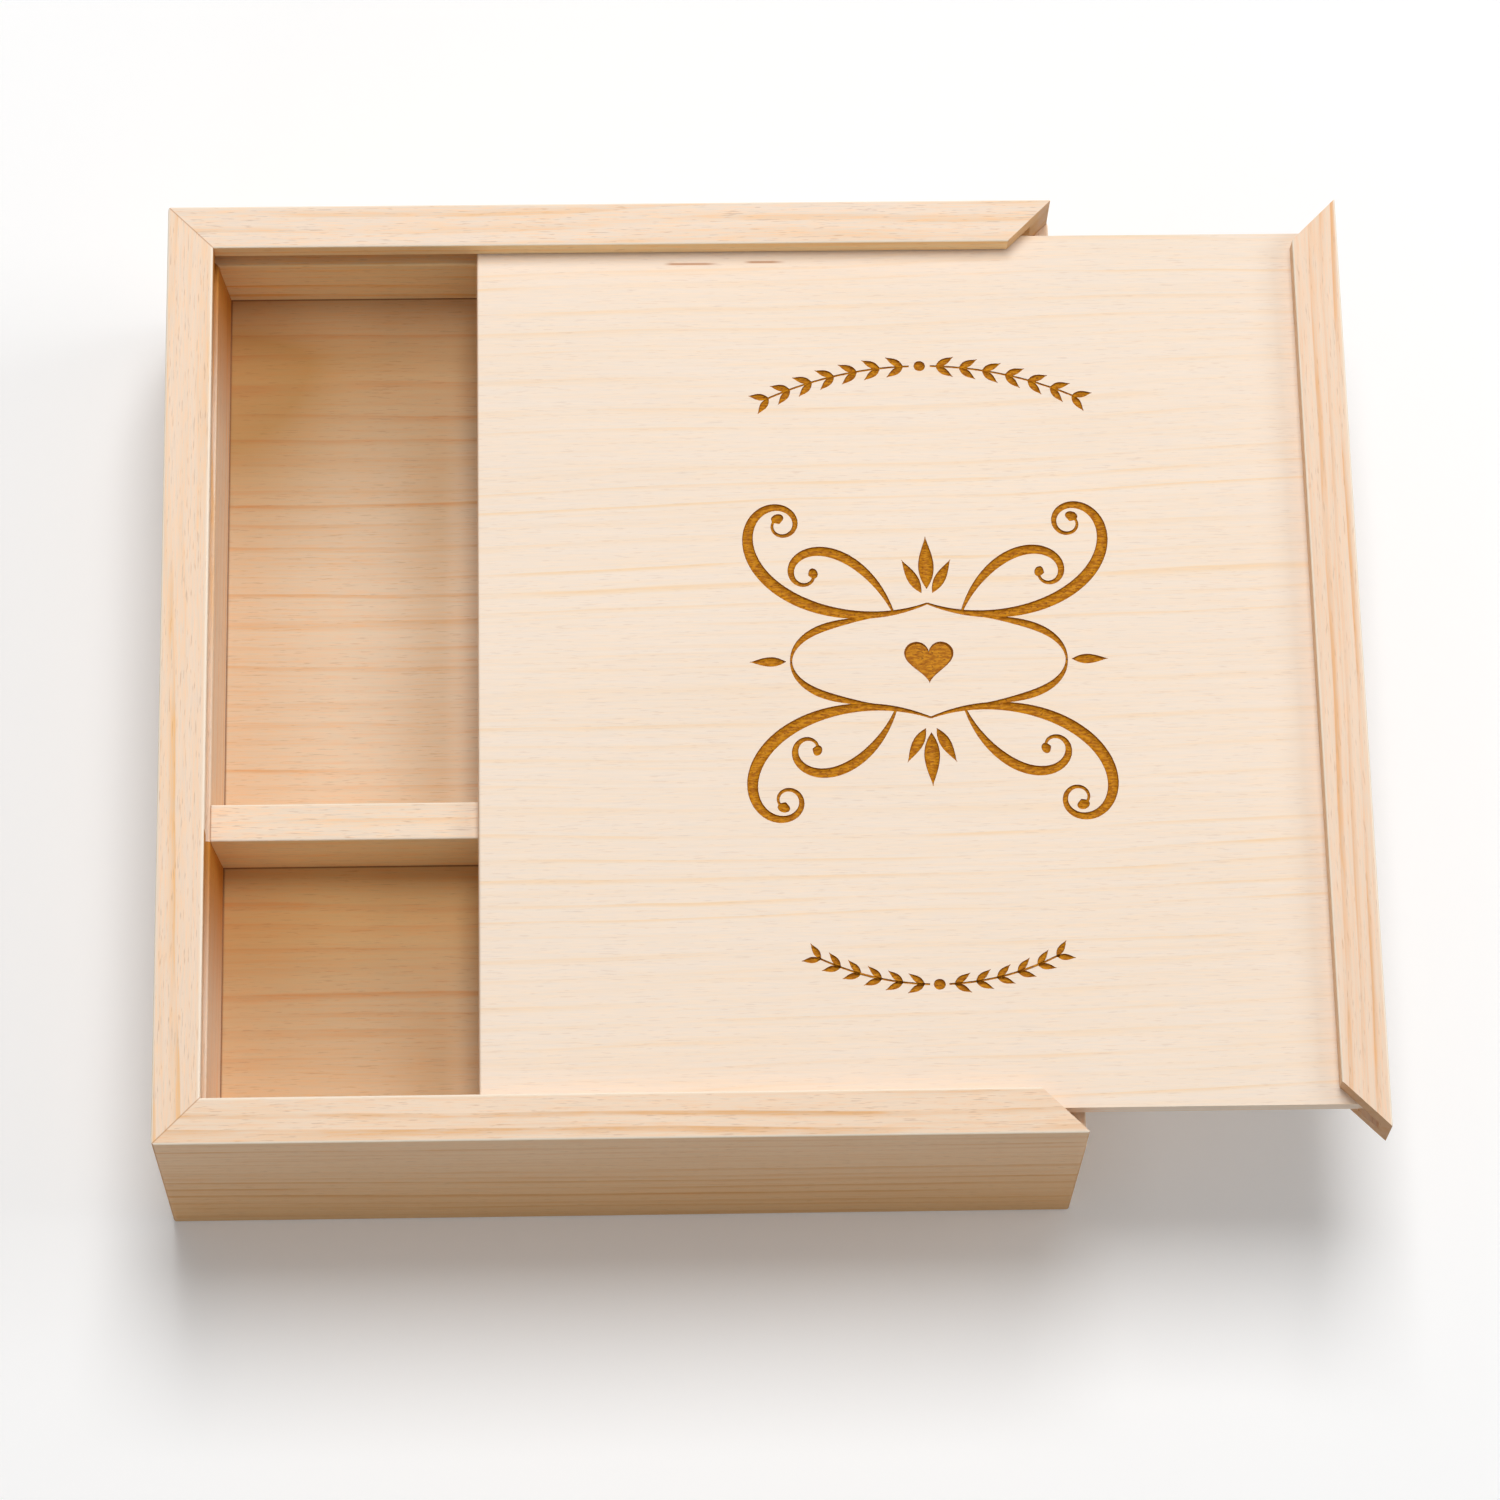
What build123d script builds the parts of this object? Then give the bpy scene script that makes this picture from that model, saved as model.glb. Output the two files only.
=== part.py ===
"""Keepsake box with a sliding lid, in plain pine.

Four grooved walls are mitred and glued round a base panel that is let into them.  The
left one grows thicker from its ledge down to the base panel.  A divider makes a large
compartment at the rear and a narrow one in front.
The lid is a thin panel that runs in the grooves of the front and rear walls.  The upper
strip of the right-hand side belongs to the lid: it is a mitred rail, glued to the end of
the panel, and the wall below it is lower by as much.

Millimetres.  +X is the way the lid slides open, +Y the rear, +Z up.  The origin is the
middle of the rectangle that the box stands on.  The lid is drawn partly open.
"""

import os

from build123d import *

# --- driving dimensions -------------------------------------------------------------

# the box outside
box_length = 200.0  # X, along the slide
box_depth = 220.0  # Y
box_height = 62.0

# section of the walls
lip_width = 10.3  # the strip over the lid groove, seen from above as the frame
ledge_reveal = 0.7  # how far the wall below the lid groove stands in front of the lip
left_reveal = 2.3  # the same for the left wall at the base panel: its inner face slopes
lip_thickness = 4.4
lid_groove_depth = 5.6  # behind the inner face of the lip
edge_round = 0.5  # sanded edges along the grain
corner_round = 1.0  # sanded upright corners

# the lid
lid_thickness = 3.6
lid_open = 64.5  # how far the lid is drawn out to the right
rail_lower_lip = 3.2  # wood of the rail under the panel
rail_back = 2.0  # wood behind the groove of the rail

# the inside
floor_height = 35.5  # top of the base panel above the feet of the walls
base_thickness = 5.0
base_groove_depth = 4.5
divider_thickness = 8.5
front_compartment = 60.0  # clear width in Y

# clearances
lid_face_clearance = 0.3  # above and below the panel in its grooves
lid_side_clearance = 2.2  # at each groove root: room for the panel to swell across its grain
lid_end_clearance = 0.3  # panel end to groove root, lid closed
rail_seat_clearance = 0.4  # rail over the right wall
mitre_clearance = 0.3  # rail end to wall end, lid closed
glue_gap = 0.2  # at the end of a board that is glued into a groove

# --- sizes that follow --------------------------------------------------------------

wall_thickness = lip_width + ledge_reveal
ledge_height = box_height - lip_thickness - lid_thickness - 2 * lid_face_clearance
lid_underside = ledge_height + lid_face_clearance
groove_root = lip_width - lid_groove_depth
rail_height = lip_thickness + lid_face_clearance + lid_thickness + rail_lower_lip
rail_underside = box_height - rail_height
right_wall_height = rail_underside - rail_seat_clearance

lid_left_end = -box_length / 2 + groove_root + lid_end_clearance + lid_open
lid_right_end = box_length / 2 + lid_open - rail_back - glue_gap
lid_width = box_depth - 2 * (groove_root + lid_side_clearance)

left_thickening = left_reveal - ledge_reveal
inner_length = box_length - 2 * wall_thickness
inner_depth = box_depth - 2 * wall_thickness
base_edge = wall_thickness - base_groove_depth + glue_gap
divider_front_face = -box_depth / 2 + wall_thickness + front_compartment

FROM_CORNER = (Align.MIN, Align.MIN)

# Each wall is drawn in a plane of its own, set in the middle of its outer face: local X
# points into the box, local Y up, and the normal along the wall.
front_plane = Plane(origin=(0, -box_depth / 2, 0), x_dir=(0, 1, 0), z_dir=(1, 0, 0))
rear_plane = Plane(origin=(0, box_depth / 2, 0), x_dir=(0, -1, 0), z_dir=(-1, 0, 0))
left_plane = Plane(origin=(-box_length / 2, 0, 0), x_dir=(1, 0, 0), z_dir=(0, -1, 0))
right_plane = Plane(origin=(box_length / 2, 0, 0), x_dir=(-1, 0, 0), z_dir=(0, 1, 0))
rail_plane = Plane(origin=(box_length / 2 + lid_open, 0, 0), x_dir=(-1, 0, 0), z_dir=(0, 1, 0))


def saw_mitres(plane, length, gap=0.0):
    """Saw both ends of the open board at 45 degrees, along the plane of its side.

    The saw passes through the outer corners of the side, or gap inside them.
    """
    for end in (-1, 1):
        corner = plane.from_local_coords((0, 0, end * length / 2))
        kept_side = (plane.x_dir + plane.z_dir * end).normalized() * -1
        split(bisect_by=Plane(origin=corner + kept_side * gap, z_dir=kept_side), keep=Keep.TOP)


# --- sections of the boards ---------------------------------------------------------

# Front, rear and left walls: a board with the lip set back, the lid groove under the
# lip and the base groove lower down.
with BuildSketch() as grooved_section:
    Rectangle(wall_thickness, box_height, align=FROM_CORNER)
    with Locations((lip_width, ledge_height)):
        Rectangle(wall_thickness, box_height, align=FROM_CORNER, mode=Mode.SUBTRACT)
    lip_edge = grooved_section.vertices().group_by(Axis.Y)[-1]
    foot_and_ledge = grooved_section.vertices().group_by(Axis.Y)[0]
    foot_and_ledge += grooved_section.vertices().group_by(Axis.X)[-1].sort_by(Axis.Y)[-1:]
    fillet(lip_edge + foot_and_ledge, radius=edge_round)
    with Locations((groove_root, ledge_height)):
        Rectangle(
            lid_groove_depth,
            lid_thickness + 2 * lid_face_clearance,
            align=FROM_CORNER,
            mode=Mode.SUBTRACT,
        )
    with Locations((wall_thickness - base_groove_depth, floor_height - base_thickness)):
        Rectangle(base_groove_depth, base_thickness, align=FROM_CORNER, mode=Mode.SUBTRACT)

# Wood that the left wall has on the inner side of the same board: nothing at the rounded
# edge of its ledge, more and more down to the base panel, and as much below it.
with BuildSketch() as left_wedge_section:
    with BuildLine():
        Polyline(
            (wall_thickness - 2 * edge_round, 0),
            (wall_thickness + left_thickening, 0),
            (wall_thickness + left_thickening, floor_height),
            (wall_thickness, ledge_height - edge_round),
            (wall_thickness - 2 * edge_round, ledge_height - edge_round),
            close=True,
        )
    make_face()
    foot = left_wedge_section.vertices().group_by(Axis.Y)[0].sort_by(Axis.X)[-1]
    fillet(foot, radius=edge_round)
    with Locations((0, floor_height - base_thickness)):
        Rectangle(
            wall_thickness + left_thickening,
            base_thickness,
            align=FROM_CORNER,
            mode=Mode.SUBTRACT,
        )

# Right wall: the same board stopped below the rail of the lid.
with BuildSketch() as low_section:
    Rectangle(wall_thickness, right_wall_height, align=FROM_CORNER)
    fillet(low_section.vertices(), radius=edge_round)
    with Locations((wall_thickness - base_groove_depth, floor_height - base_thickness)):
        Rectangle(base_groove_depth, base_thickness, align=FROM_CORNER, mode=Mode.SUBTRACT)

# Rail of the lid: as wide as the lip, with a deep groove that takes the panel.
with BuildSketch() as rail_section:
    with Locations((0, rail_underside)):
        Rectangle(lip_width, rail_height, align=FROM_CORNER)
    fillet(rail_section.vertices(), radius=edge_round)
    with Locations((rail_back, lid_underside)):
        Rectangle(lip_width, lid_thickness, align=FROM_CORNER, mode=Mode.SUBTRACT)

# Outline of the whole box, with its sanded upright corners, and the same drawn out with
# the lid.
with BuildSketch() as box_outline:
    RectangleRounded(box_length, box_depth, corner_round)

with BuildSketch() as drawn_outline:
    with Locations((lid_open, 0)):
        RectangleRounded(box_length, box_depth, corner_round)

# --- walls --------------------------------------------------------------------------

with BuildPart() as front_wall:
    with BuildSketch(front_plane):
        add(grooved_section.sketch)
    extrude(amount=box_length / 2, both=True)
    saw_mitres(front_plane, box_length)
    extrude(box_outline.sketch, amount=box_height, mode=Mode.INTERSECT)

with BuildPart() as rear_wall:
    with BuildSketch(rear_plane):
        add(grooved_section.sketch)
    extrude(amount=box_length / 2, both=True)
    saw_mitres(rear_plane, box_length)
    extrude(box_outline.sketch, amount=box_height, mode=Mode.INTERSECT)

with BuildPart() as left_wall:
    with BuildSketch(left_plane):
        add(grooved_section.sketch)
    extrude(amount=box_depth / 2, both=True)
    saw_mitres(left_plane, box_depth)
    extrude(box_outline.sketch, amount=box_height, mode=Mode.INTERSECT)
    with BuildSketch(left_plane):
        add(left_wedge_section.sketch)
    extrude(amount=inner_depth / 2, both=True)
    # housing for the end of the divider
    with BuildSketch(Plane.XY.offset(floor_height)):
        with Locations((-inner_length / 2, divider_front_face)):
            Rectangle(left_thickening, divider_thickness, align=FROM_CORNER)
    extrude(amount=ledge_height - floor_height, mode=Mode.SUBTRACT)

with BuildPart() as right_wall:
    with BuildSketch(right_plane):
        add(low_section.sketch)
    extrude(amount=box_depth / 2, both=True)
    saw_mitres(right_plane, box_depth)
    extrude(box_outline.sketch, amount=box_height, mode=Mode.INTERSECT)

# --- inside -------------------------------------------------------------------------

# Base panel, let into the groove of all four walls.
with BuildPart() as base_panel:
    with BuildSketch(Plane.XY.offset(floor_height)):
        Rectangle(box_length - 2 * base_edge, box_depth - 2 * base_edge)
    extrude(amount=-base_thickness)

# Divider, glued to the base panel, to the right wall and in the housing of the left one,
# level with the ledges that the lid runs on.
with BuildPart() as divider:
    with BuildSketch(Plane.XY.offset(floor_height)):
        with Locations((0, divider_front_face)):
            Rectangle(inner_length, divider_thickness, align=(Align.CENTER, Align.MIN))
    extrude(amount=ledge_height - floor_height)
    top_long_edges = divider.faces().sort_by(Axis.Z)[-1].edges().filter_by(Axis.X)
    fillet(top_long_edges, radius=edge_round)

# --- lid ----------------------------------------------------------------------------

# Panel, free in the wall grooves, its right end glued into the rail.
with BuildPart() as lid_panel:
    with BuildSketch(Plane.XY.offset(lid_underside)):
        with Locations((lid_left_end, 0)):
            Rectangle(lid_right_end - lid_left_end, lid_width, align=(Align.MIN, Align.CENTER))
    extrude(amount=lid_thickness)
    left_end = lid_panel.faces().sort_by(Axis.X)[0]
    fillet(left_end.edges().filter_by(Axis.Y), radius=edge_round)

# Rail, the upper strip of the right-hand side, mitred to meet the front and rear walls.
with BuildPart() as lid_rail:
    with BuildSketch(rail_plane):
        add(rail_section.sketch)
    extrude(amount=box_depth / 2, both=True)
    saw_mitres(rail_plane, box_depth, gap=mitre_clearance)
    extrude(drawn_outline.sketch, amount=box_height, mode=Mode.INTERSECT)

# --- one STEP file for each piece ---------------------------------------------------

pieces = {
    "front_wall": front_wall,
    "rear_wall": rear_wall,
    "left_wall": left_wall,
    "right_wall": right_wall,
    "base_panel": base_panel,
    "divider": divider,
    "lid_panel": lid_panel,
    "lid_rail": lid_rail,
}

os.makedirs("parts", exist_ok=True)
for name, piece in pieces.items():
    piece.part.label = name
    export_step(piece.part, f"parts/{name}.step")
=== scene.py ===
# Keepsake box with a sliding lid: its planed pine, the engraving of its lid, and the table
# and light that it is shown in.  Eight boards come from the frame.  Seven are finished as
# they are, and the lid panel is engraved.  Metres; +X is the way the lid slides open, +Y the
# rear, +Z up.
import math

import bmesh
import bpy
from mathutils import Matrix, Vector


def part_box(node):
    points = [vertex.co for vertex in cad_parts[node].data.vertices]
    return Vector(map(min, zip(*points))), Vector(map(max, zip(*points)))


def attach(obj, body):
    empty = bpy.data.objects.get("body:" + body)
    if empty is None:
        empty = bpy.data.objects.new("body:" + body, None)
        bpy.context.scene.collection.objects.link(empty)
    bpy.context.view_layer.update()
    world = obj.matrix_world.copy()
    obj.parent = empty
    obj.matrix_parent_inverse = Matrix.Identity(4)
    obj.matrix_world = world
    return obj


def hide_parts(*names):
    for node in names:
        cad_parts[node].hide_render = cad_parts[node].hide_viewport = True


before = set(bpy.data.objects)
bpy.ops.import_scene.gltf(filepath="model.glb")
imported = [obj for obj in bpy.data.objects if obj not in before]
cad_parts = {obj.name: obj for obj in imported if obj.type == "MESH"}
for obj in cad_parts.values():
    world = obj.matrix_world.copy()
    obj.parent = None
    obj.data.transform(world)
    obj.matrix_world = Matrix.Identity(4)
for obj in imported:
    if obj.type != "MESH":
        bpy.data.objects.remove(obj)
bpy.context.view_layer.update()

MM = 0.001

# --- Walls ----------------------------------------------------------------------------
# Front, rear, left and right walls: planed pine boards, grooved inside, sawn to 45 degrees
# at the ends and glued, which shows as a thin brown line at each corner.  The left one
# grows thicker inside towards the base panel, and the right one ends under the lid's rail.


class Reading:
    """A value that varies over a surface, which sums, products and powers can use."""

    def __init__(self, nodes, socket):
        self.nodes = nodes
        self.socket = socket

    def maths(self, operation, *values):
        return self.nodes.node("ShaderNodeMath", {"operation": operation}, dict(enumerate(values)))

    def __add__(self, other):
        return self.maths("ADD", self, other)

    def __sub__(self, other):
        return self.maths("SUBTRACT", self, other)

    def __rsub__(self, other):
        return self.maths("SUBTRACT", other, self)

    def __mul__(self, other):
        return self.maths("MULTIPLY", self, other)

    def __truediv__(self, other):
        return self.maths("DIVIDE", self, other)

    def __pow__(self, other):
        return self.maths("POWER", self, other)

    def __abs__(self):
        return self.maths("ABSOLUTE", self)

    def least(self, other):
        return self.maths("MINIMUM", self, other)

    def most(self, other):
        return self.maths("MAXIMUM", self, other)

    __radd__ = __add__
    __rmul__ = __mul__


class Nodes:
    """A tree of nodes, and the one way of adding a step to it."""

    # numbers of a Mix node's colour sockets, which share their names with its others
    MIX_SHARE, MIX_UNDER, MIX_OVER, MIX_RESULT = 0, 6, 7, 2

    def __init__(self, tree):
        self.tree = tree

    def node(self, kind, settings, inputs, output=0):
        """Add a node with its settings and the values or links of its sockets."""
        node = self.tree.nodes.new(kind)
        for setting, value in settings.items():
            setattr(node, setting, value)
        for socket, value in inputs.items():
            self.feed(node.inputs[socket], value)
        return Reading(self, node.outputs[output])

    def feed(self, socket, value):
        if isinstance(value, Reading):
            self.tree.links.new(value.socket, socket)
        else:
            socket.default_value = value

    def beside(self, reading, output):
        """Another output of the node that a reading comes from."""
        return Reading(self, reading.socket.node.outputs[output])

    def parts(self, vector):
        """The three numbers of a vector."""
        split = self.node("ShaderNodeSeparateXYZ", {}, {"Vector": vector})
        return [self.beside(split, axis) for axis in "XYZ"]

    def joined(self, x, y, z):
        """A vector of three numbers."""
        return self.node("ShaderNodeCombineXYZ", {}, {"X": x, "Y": y, "Z": z})

    def blend(self, share, under, over, kind="MIX"):
        """Colour over laid on colour under, by a share from 0 to 1."""
        settings = {"data_type": "RGBA", "blend_type": kind}
        inputs = {self.MIX_SHARE: share, self.MIX_UNDER: under, self.MIX_OVER: over}
        return self.node("ShaderNodeMix", settings, inputs, self.MIX_RESULT)


class Finish(Nodes):
    """The material of one piece, and the few kinds of step that it is made of."""

    def __init__(self, name):
        self.material = bpy.data.materials.new(name)
        self.material.use_nodes = True
        super().__init__(self.material.node_tree)

    def surface(self, qualities):
        """Give the surface its qualities, each a number, a colour or a reading."""
        shader = self.tree.nodes["Principled BSDF"]
        for quality, value in qualities.items():
            self.feed(shader.inputs[quality], value)

    def places(self):
        """X, Y and Z in millimetres, and the same parts of the face's normal without sign."""
        coordinates = self.node("ShaderNodeTexCoord", {}, {}, output="Object")
        normal = self.parts(self.beside(coordinates, "Normal"))
        return self.parts(self.shade(coordinates, 1 / MM)), [abs(part) for part in normal]

    def clouds(self, place, detail):
        """Cloudy noise from 0 to 1 at a place, its clouds about 1 across."""
        inputs = {"Vector": place, "Scale": 1.0, "Detail": detail}
        return self.node("ShaderNodeTexNoise", {}, inputs)

    def figure(self, place, size, shift, detail):
        """Cloudy noise in wood at place = (along, across, up), in millimetres, moved by shift.

        size is the length of the clouds along the grain and their width across it.
        """
        along, across, up = place
        length, width = size
        scaled = self.joined(along / length, across / width, up / width)
        moved = self.node("ShaderNodeVectorMath", {"operation": "ADD"}, {0: scaled, 1: shift})
        return self.clouds(moved, detail)

    def step(self, value, low, high, low_value=0.0, high_value=1.0):
        """A soft step of a value from low to high."""
        inputs = dict(enumerate((value, low, high, low_value, high_value)))
        return self.node("ShaderNodeMapRange", {"interpolation_type": "SMOOTHSTEP"}, inputs)

    def tint(self, share, colour, tint):
        """A colour with a see-through tint multiplied onto it, by a share from 0 to 1."""
        return self.blend(share, colour, tint, "MULTIPLY")

    def shade(self, colour, amount):
        """A colour or vector made larger or smaller by a factor."""
        inputs = {"Vector": colour, "Scale": amount}
        return self.node("ShaderNodeVectorMath", {"operation": "SCALE"}, inputs)

    def relief(self, height, depth, strength):
        """Fine relief of the surface, of a height from 0 to 1, depth metres deep."""
        inputs = {"Height": height, "Distance": depth, "Strength": strength}
        return self.node("ShaderNodeBump", {}, inputs)


def tone(red, green, blue):
    """A colour given as on a paint chart, 0 to 255, in linear light."""
    shares = [level / 255 for level in (red, green, blue)]
    return (*[s / 12.92 if s < 0.04045 else ((s + 0.055) / 1.055) ** 2.4 for s in shares], 1.0)


# Year rings: their bow and wander, and how uneven they are, in ring widths
RING_BOW = 2.4
RING_WANDER = 0.34
RING_UNEVEN = 2.2
UNEVEN_RUN = 2.3  # over so many rings
LATE_END = 0.94  # the late wood ends at this share of a year
LATE_RISE = 1.6  # and darkens towards it over so many times its own share
FAINTEST_RING = 0.2
FAINTEST_PATCH = 0.18  # rings fade to so much here and there

# Patterns in the wood: length and width of their clouds, in millimetres
BOW_SIZE = (190, 70)
WANDER_SIZE = (48, 10)
PATCH_SIZE = (46, 3.2)
FIBRE_SIZE = (6, 0.40)
BAND_SIZE = (40, 1.5)
MELLOW_SIZE = (90, 26)
FLECK_SIZE = (3.6, 0.26)
HAIR_WIDTH = 0.75
HAIR_LENGTH = 90

# Where in its noise each pattern that comes in spots begins, and where it is full
PATCH_STEP = (0.36, 0.64)
HAIR_STEP = (0.48, 0.72)
FLECK_STEP = (0.62, 0.74)


def year_rings(finish, place, heart, ring, narrow, sway, drift, seed):
    """How dark the year rings are, and the fine hairs beside them, and the bow of both."""
    along, across, up = place
    bow = finish.figure(place, BOW_SIZE, (seed, 0, 0), 1.0) - 0.5
    wander = finish.figure(place, WANDER_SIZE, (0, seed, 0), 2.0) - 0.5
    from_heart = ((across - heart[0]) ** 2 + (up - heart[1]) ** 2) ** 0.5
    bent = from_heart + along * drift
    bent = bent + bow * (RING_BOW * sway * ring) + wander * (RING_WANDER * ring)

    uneven = finish.clouds(finish.joined(bent / (UNEVEN_RUN * ring), seed, 0.0), 1.0) - 0.5
    year = bent / ring + uneven * RING_UNEVEN
    age = year.maths("FRACT", year)
    number = year.maths("FLOOR", year)
    luck = finish.node(
        "ShaderNodeTexWhiteNoise", {"noise_dimensions": "1D"}, {"W": number + seed}
    )
    rise = finish.step(age, LATE_END - narrow * LATE_RISE, LATE_END)
    late_wood = rise * finish.step(age, LATE_END, 1.0, 1.0, 0.0)
    patch = finish.figure(place, PATCH_SIZE, (0, 0, seed), 2.0)
    faded = finish.step(patch, *PATCH_STEP, FAINTEST_PATCH, 1.0)
    rings = late_wood * faded * (luck * (1.0 - FAINTEST_RING) + FAINTEST_RING)

    hairs = finish.clouds(finish.joined(bent / HAIR_WIDTH, along / HAIR_LENGTH, seed), 3.0)
    return rings, finish.step(hairs, *HAIR_STEP), bow


RESIN_START = 2.5  # how far a streak takes to begin and to end along the grain
RESIN_END = 4.0
RESIN_LINE = (0.12, 0.40)  # from its middle: where it is full, and where it is gone


def resin_streak(finish, start, end, along, from_middle):
    """How resinous a place is: 1 in a hairline from start to end along the grain."""
    begins = finish.step(along, start, start + RESIN_START)
    ends = finish.step(along, end - RESIN_END, end, 1.0, 0.0)
    return begins * ends * finish.step(abs(from_middle), *RESIN_LINE, 1.0, 0.0)


# The first tone paints highlights on the sanded edges and along the lips, and the amber one is the
# warm colour of painted shade.
HIGHLIGHT_TONE = tone(255, 240, 220)
END_TONE = tone(196, 146, 98)
FLECK_TONE = tone(170, 112, 66)
GLUE_TONE = tone(190, 128, 74)
SEAM_TONE = tone(112, 62, 26)
AMBER_SHADE = tone(228, 190, 106)
RESIN_TONE = tone(186, 122, 70)

# How much of the late wood's tone each pattern brings, and how much it lightens the wood
PLAIN_SHARE, HAIR_SHARE, BAND_SHARE, FIBRE_SHARE = 0.10, 0.20, 0.5, 0.9
MELLOW_LIGHT, BAND_LIGHT, FIBRE_LIGHT = 0.05, 0.02, 0.22
FLECK_SHARE, RESIN_SHARE, END_SHARE, GLUE_SHARE, SEAM_SHARE = 0.20, 0.75, 0.55, 0.6, 0.8

LID_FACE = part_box("lid_panel")[1][2] / MM
EDGE_TURN = (0.13, 0.35)  # product of the normal's parts where a sanded edge begins, is full
HIGHLIGHT_OVER_LID = 0.9  # how strong the painted highlight on the sanded edges over the lid's face is
EDGE_RISE = 0.9  # the height over which the highlight turns from its strength under the lid's face to that
END_TURN = (0.35, 0.60)  # part of the normal along the grain where end grain begins, is full
GLUE_LINE = (0.06, 0.30)  # from a mitre: where the line is full, and where it is gone
SEAM_LINE = (0.10, 0.55)
RESIN_BOW = 3.0  # how far a resin streak follows the bow of the rings
PINE_ROUGHNESS = 0.62
FIBRE_POLISH, RING_POLISH = 0.10, 0.05  # how much less rough fibres and late wood are
PINE_GLOSS = 0.3
FIBRE_HEIGHT, BAND_HEIGHT, RING_HEIGHT = 0.6, 0.4, 0.3  # shares of the planed relief
PLANED_RELIEF = 0.05 * MM
RELIEF_STRENGTH = 0.5


def pine(
    name, grain, heart, ring, pale, late, seed, streak=1.0, narrow=0.30, sway=1.0, drift=0.0,
    fibre=1.0, highlight_under_lid=0.2, highlight_rim=None, painted_shades=(), joint=None, seam=None, resin=(),
):
    """Planed pine, with its grain along X or Y.

    The year rings lie round a heart outside the board, at heart = (across, up), ring apart,
    all in millimetres.  narrow is the late wood's share of a ring, and sway and drift bend
    and lean the rings.  streak and fibre say how strongly the rings and the fibres show.
    highlight_under_lid is how strong the painted highlight on the sanded edges below the lid's
    face is, and highlight_rim gives a painted highlight along a strip at an edge.  painted_shades
    are tones of painted shade, each with the share of it at a place.  joint and seam give the
    distance to the nearest glued mitre and to the dark line at the edge of a board, which is
    partly the joint and partly painted contact shade.  resin is a list of short streaks: where
    along the grain each starts and ends, and where across the board it lies.
    """
    finish = Finish(name)
    (x, y, up), (n_x, n_y, n_up) = finish.places()
    along, across, n_along, n_across = (x, y, n_x, n_y) if grain == "X" else (y, x, n_y, n_x)
    place = (along, across, up)
    rings, hairs, bow = year_rings(finish, place, heart, ring, narrow, sway, drift, seed)

    # fibres, bands of them, resin flecks and a slow change of tone
    fine = finish.figure(place, FIBRE_SIZE, (0, 0, seed), 3.0) - 0.5
    coarse = finish.figure(place, BAND_SIZE, (0, seed, 0), 2.0) - 0.5
    mellow = finish.figure(place, MELLOW_SIZE, (0, 0, seed), 2.0) - 0.5
    flecks = finish.step(finish.figure(place, FLECK_SIZE, (0, seed, 0), 1.0), *FLECK_STEP)
    grained = rings * streak + hairs * (HAIR_SHARE * streak)
    grained = grained + coarse * BAND_SHARE + fine * (FIBRE_SHARE * fibre) + PLAIN_SHARE
    colour = finish.blend(grained, pale, late)
    light = mellow * MELLOW_LIGHT + coarse * BAND_LIGHT + fine * (FIBRE_LIGHT * fibre)
    colour = finish.shade(colour, light + 1.0)
    colour = finish.blend(flecks * (FLECK_SHARE * fibre), colour, FLECK_TONE)
    for start, end, middle in resin:
        from_middle = across + bow * RESIN_BOW - middle
        resinous = resin_streak(finish, start, end, along, from_middle)
        colour = finish.blend(resinous * RESIN_SHARE, colour, RESIN_TONE)

    # painted highlights on the sanded edges along the grain and along the lips, painted shade, end
    # grain and the lines between boards
    edge = finish.step(n_across * n_up, *EDGE_TURN)
    highlight_share = finish.step(up, LID_FACE, LID_FACE + EDGE_RISE, highlight_under_lid, HIGHLIGHT_OVER_LID)
    colour = finish.blend(edge * highlight_share, colour, HIGHLIGHT_TONE)
    if highlight_rim:
        colour = finish.blend(highlight_rim(finish, x, y, up), colour, HIGHLIGHT_TONE)
    # each painted shade darkens and warms the colour by its share at a place
    for share, tint in painted_shades:
        colour = finish.tint(share(finish, x, y, up, n_up), colour, tint)
    end_grain = finish.step(n_along, *END_TURN, 0.0, END_SHARE)
    colour = finish.blend(end_grain, colour, END_TONE)
    if joint:
        glue = finish.step(joint(finish, x, y), *GLUE_LINE, GLUE_SHARE, 0.0)
        colour = finish.blend(glue, colour, GLUE_TONE)
    if seam:
        gap = finish.step(seam(finish, x, y), *SEAM_LINE, SEAM_SHARE, 0.0)
        colour = finish.blend(gap, colour, SEAM_TONE)

    height = fine * FIBRE_HEIGHT + coarse * BAND_HEIGHT - rings * RING_HEIGHT
    finish.surface({
        "Base Color": colour,
        "Roughness": PINE_ROUGHNESS - fine * FIBRE_POLISH - rings * RING_POLISH,
        "Normal": finish.relief(height, PLANED_RELIEF, RELIEF_STRENGTH),
        "Specular IOR Level": PINE_GLOSS,
    })
    return finish.material


def put_finish(node, material):
    """Give every face of a board from the frame one finish."""
    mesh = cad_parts[node].data
    mesh.materials.clear()
    mesh.materials.append(material)


box_low = [value / MM for value in (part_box("left_wall")[0][0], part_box("front_wall")[0][1])]
box_high = [value / MM for value in (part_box("right_wall")[1][0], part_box("rear_wall")[1][1])]
WALL = box_high[0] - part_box("divider")[1][0] / MM  # how thick the walls are
LEFT_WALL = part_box("left_wall")[1][0] / MM - box_low[0]  # the left one, at the base panel
LIP = (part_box("lid_rail")[1][0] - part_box("lid_rail")[0][0]) / MM  # over the lid: as the rail
DIVIDER_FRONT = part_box("divider")[0][1] / MM
WALL_PALE = tone(248, 225, 201)
WALL_LATE = tone(240, 190, 142)


def insets(x, y):
    """How far a place lies inside each side of the box."""
    return {
        "left": x - box_low[0],
        "right": box_high[0] - x,
        "front": y - box_low[1],
        "rear": box_high[1] - y,
    }


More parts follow.
